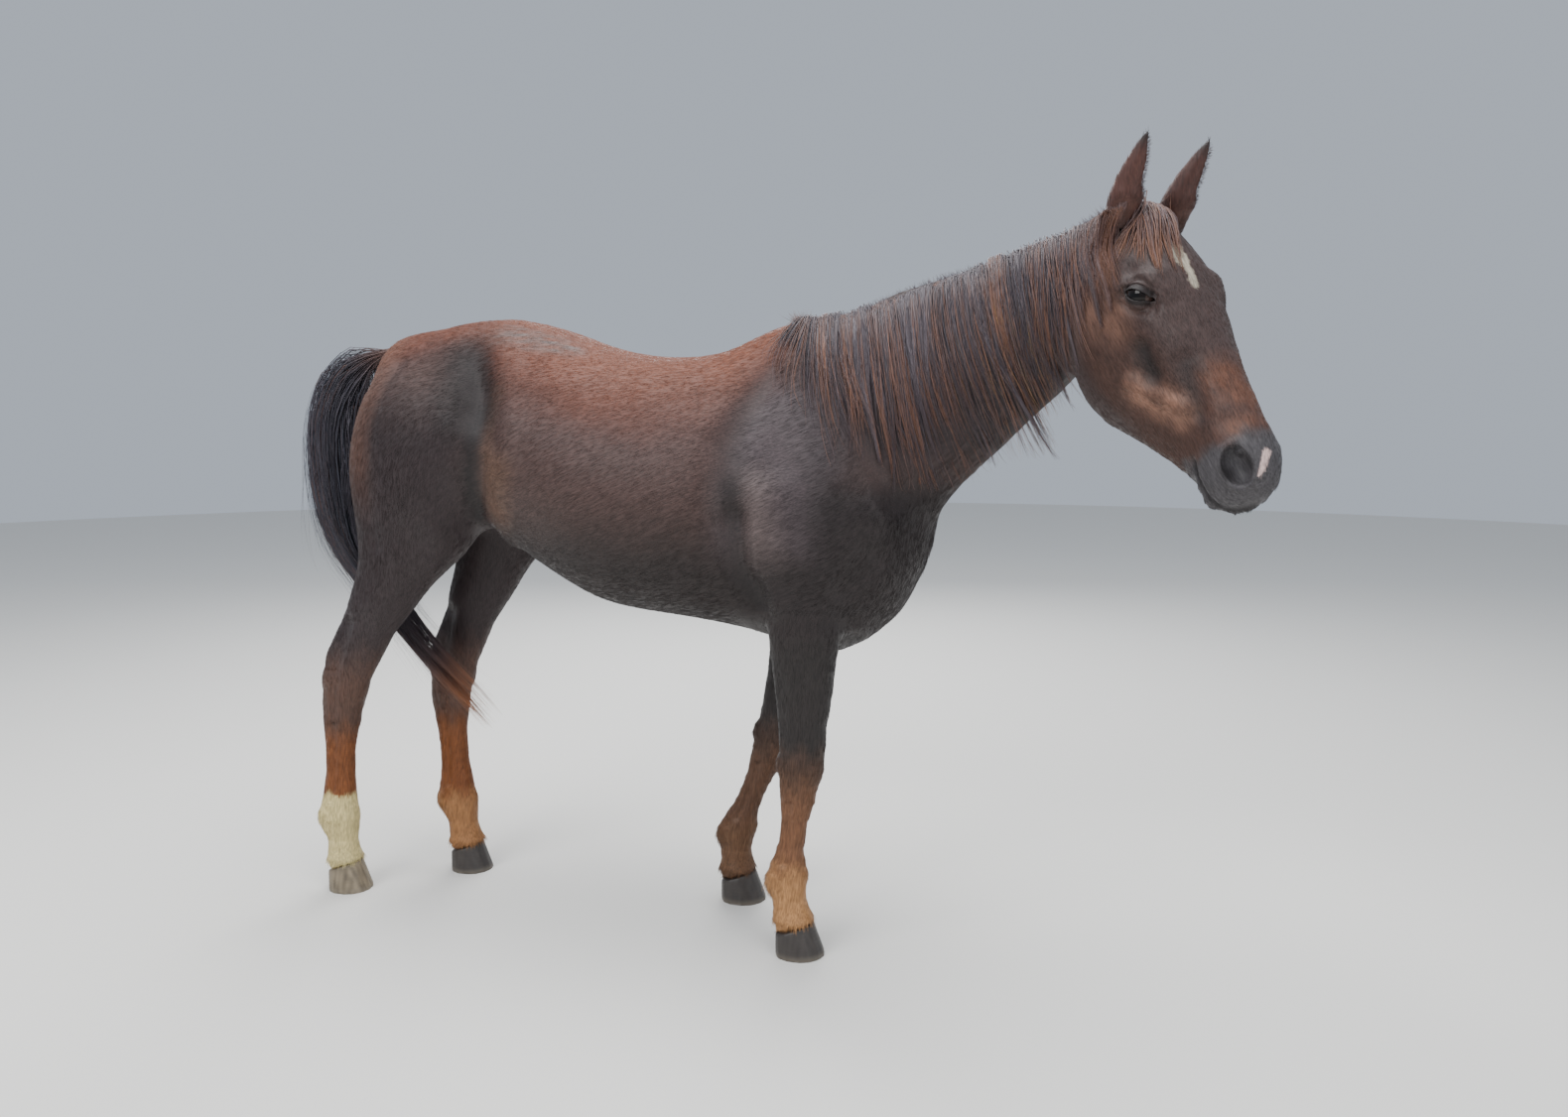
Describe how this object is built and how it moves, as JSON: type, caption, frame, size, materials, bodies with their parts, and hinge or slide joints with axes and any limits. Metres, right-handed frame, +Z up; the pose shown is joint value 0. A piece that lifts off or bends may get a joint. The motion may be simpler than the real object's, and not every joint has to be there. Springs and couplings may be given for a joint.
{
  "type": "standing horse model",
  "caption": "Life-size standing horse with its head turned to its right, ears pricked, mane on the right side of the neck and tail swept forward between the hind legs.",
  "frame": {"origin": "on the floor, under the middle of the horse's plan outline", "axes": "+X from the tail towards the breast, +Y towards the horse's left, +Z up from the floor"},
  "size_m": [2.4596, 0.8754, 1.8335],
  "materials": {
    "coat": "short flat hair on skin, satin sheen, dark liver chestnut",
    "lower_leg": "short coarse hair on skin, red brown",
    "white_sock": "short coarse white hair",
    "mane_tail": "long coarse hair in locks, dark brown",
    "horn": "ringed grey-brown horn, dull",
    "eye": "wet, near black"
  },
  "bodies": {
    "root": {"head": "coat", "neck": "coat", "trunk": "coat", "leg_fore_right_upper": "coat", "leg_fore_right_cannon": "lower_leg", "leg_fore_right_pastern": "lower_leg", "hoof_fore_right": "horn", "leg_fore_left_upper": "coat", "leg_fore_left_cannon": "lower_leg", "leg_fore_left_pastern": "lower_leg", "hoof_fore_left": "horn", "leg_hind_right_upper": "coat", "leg_hind_right_cannon": "lower_leg", "leg_hind_right_pastern": "white_sock", "hoof_hind_right": "horn", "leg_hind_left_upper": "coat", "leg_hind_left_cannon": "lower_leg", "leg_hind_left_pastern": "lower_leg", "hoof_hind_left": "horn", "eye_right": "eye", "eye_left": "eye", "ear_right": "coat", "ear_left": "coat", "mane": "mane_tail", "forelock": "mane_tail", "tail_dock": "mane_tail", "tail_skirt": "mane_tail", "tail_switch": "mane_tail"}
  },
  "joints": []
}
